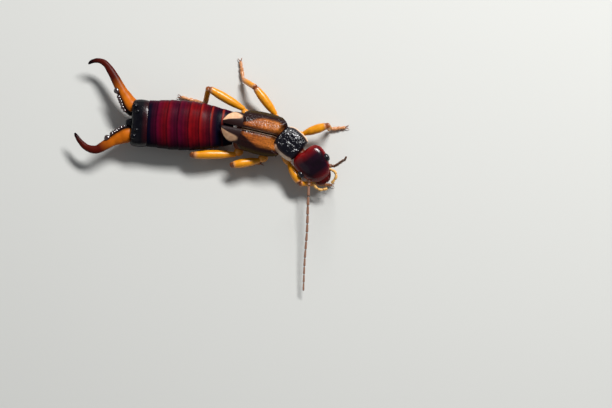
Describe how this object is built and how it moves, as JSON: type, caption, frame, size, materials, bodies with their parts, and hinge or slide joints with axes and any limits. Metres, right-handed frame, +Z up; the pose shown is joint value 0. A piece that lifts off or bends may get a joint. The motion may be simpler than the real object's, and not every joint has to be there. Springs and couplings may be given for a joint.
{
  "type": "earwig",
  "caption": "Life-size standing male earwig with its head turned to its right, short wing covers and spread, toothed forceps.",
  "frame": {"origin": "centre of the bottom of the model's box, on the floor under its feet", "axes": "+X forward along the middle of the wing covers, +Y to the animal's left, +Z up from the floor"},
  "size_m": [0.018, 0.0142, 0.0067],
  "materials": {
    "head": "glossy horn, very dark red-brown",
    "eye": "glossy black",
    "antenna": "satin horn, grey-brown with darker joints",
    "palp": "satin horn, yellow-orange",
    "pronotum": "glossy horn, near black with pale side margins",
    "thorax": "satin horn, brown",
    "wing_cover": "satin horn, orange-brown with dark margins",
    "wing_tip": "satin horn, pale peach with a dark inner edge",
    "abdomen": "glossy horn, wine red, darker to both ends",
    "forceps": "glossy horn, amber at the root and maroon to the tip",
    "leg": "satin horn, amber"
  },
  "bodies": {
    "root": {"head": "head", "eye_left": "eye", "eye_right": "eye", "antenna_left": "antenna", "antenna_right": "antenna", "palp_left": "palp", "palp_right": "palp", "pronotum": "pronotum", "prothorax": "thorax", "thorax": "thorax", "tegmen_left": "wing_cover", "tegmen_right": "wing_cover", "wing_tip_left": "wing_tip", "wing_tip_right": "wing_tip", "abdomen": "abdomen", "abdomen_tip": "abdomen", "forceps_left": "forceps", "forceps_right": "forceps", "leg_front_left": "leg", "leg_mid_left": "leg", "leg_hind_left": "leg", "leg_front_right": "leg", "leg_mid_right": "leg", "leg_hind_right": "leg"}
  },
  "joints": []
}
